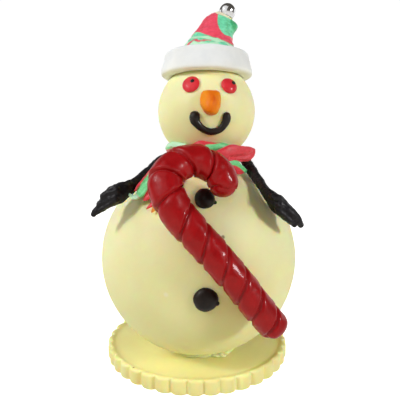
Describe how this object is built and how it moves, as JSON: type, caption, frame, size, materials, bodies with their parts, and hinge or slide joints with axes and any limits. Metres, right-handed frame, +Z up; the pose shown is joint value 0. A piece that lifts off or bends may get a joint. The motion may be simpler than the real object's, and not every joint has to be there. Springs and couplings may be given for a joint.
{
  "type": "chocolate snowman figure",
  "caption": "Snowman confection: two white chocolate balls on a fluted disc, with paste hat, scarf, twisted cane and dark chocolate arms.",
  "frame": {"origin": "centre of the flat underside of the fluted disc", "axes": "+Z up through the disc and the figure, -Y towards the figure's front, +X towards the viewer's right when the face is seen"},
  "size_m": [0.1006, 0.1252, 0.1844],
  "materials": {
    "white_chocolate": "satin, cream coloured cast chocolate",
    "dark_chocolate": "glossy tempered dark chocolate",
    "marbled_paste": "satin paste marbled red, mint green and cream",
    "red_paste": "glossy deep red twisted sugar",
    "white_paste": "matte white sugar paste",
    "orange_paste": "satin orange paste",
    "red_sugar": "glossy red coated sugar",
    "silver_sugar": "polished silver coating on sugar"
  },
  "bodies": {
    "root": {"base_disc": "white_chocolate", "joining_chocolate": "white_chocolate", "body_ball": "white_chocolate", "head_ball": "white_chocolate", "hat_band": "white_paste", "hat": "marbled_paste", "silver_pearl": "silver_sugar", "eye_left": "red_sugar", "eye_right": "red_sugar", "pupil_left": "dark_chocolate", "pupil_right": "dark_chocolate", "nose": "orange_paste", "mouth": "dark_chocolate", "scarf_wrap": "marbled_paste", "scarf_tail_left": "marbled_paste", "scarf_flap": "marbled_paste", "scarf_tail_right": "marbled_paste", "candy_cane": "red_paste", "arm_left": "dark_chocolate", "arm_right": "dark_chocolate", "button_upper": "dark_chocolate", "button_lower": "dark_chocolate"}
  },
  "joints": []
}
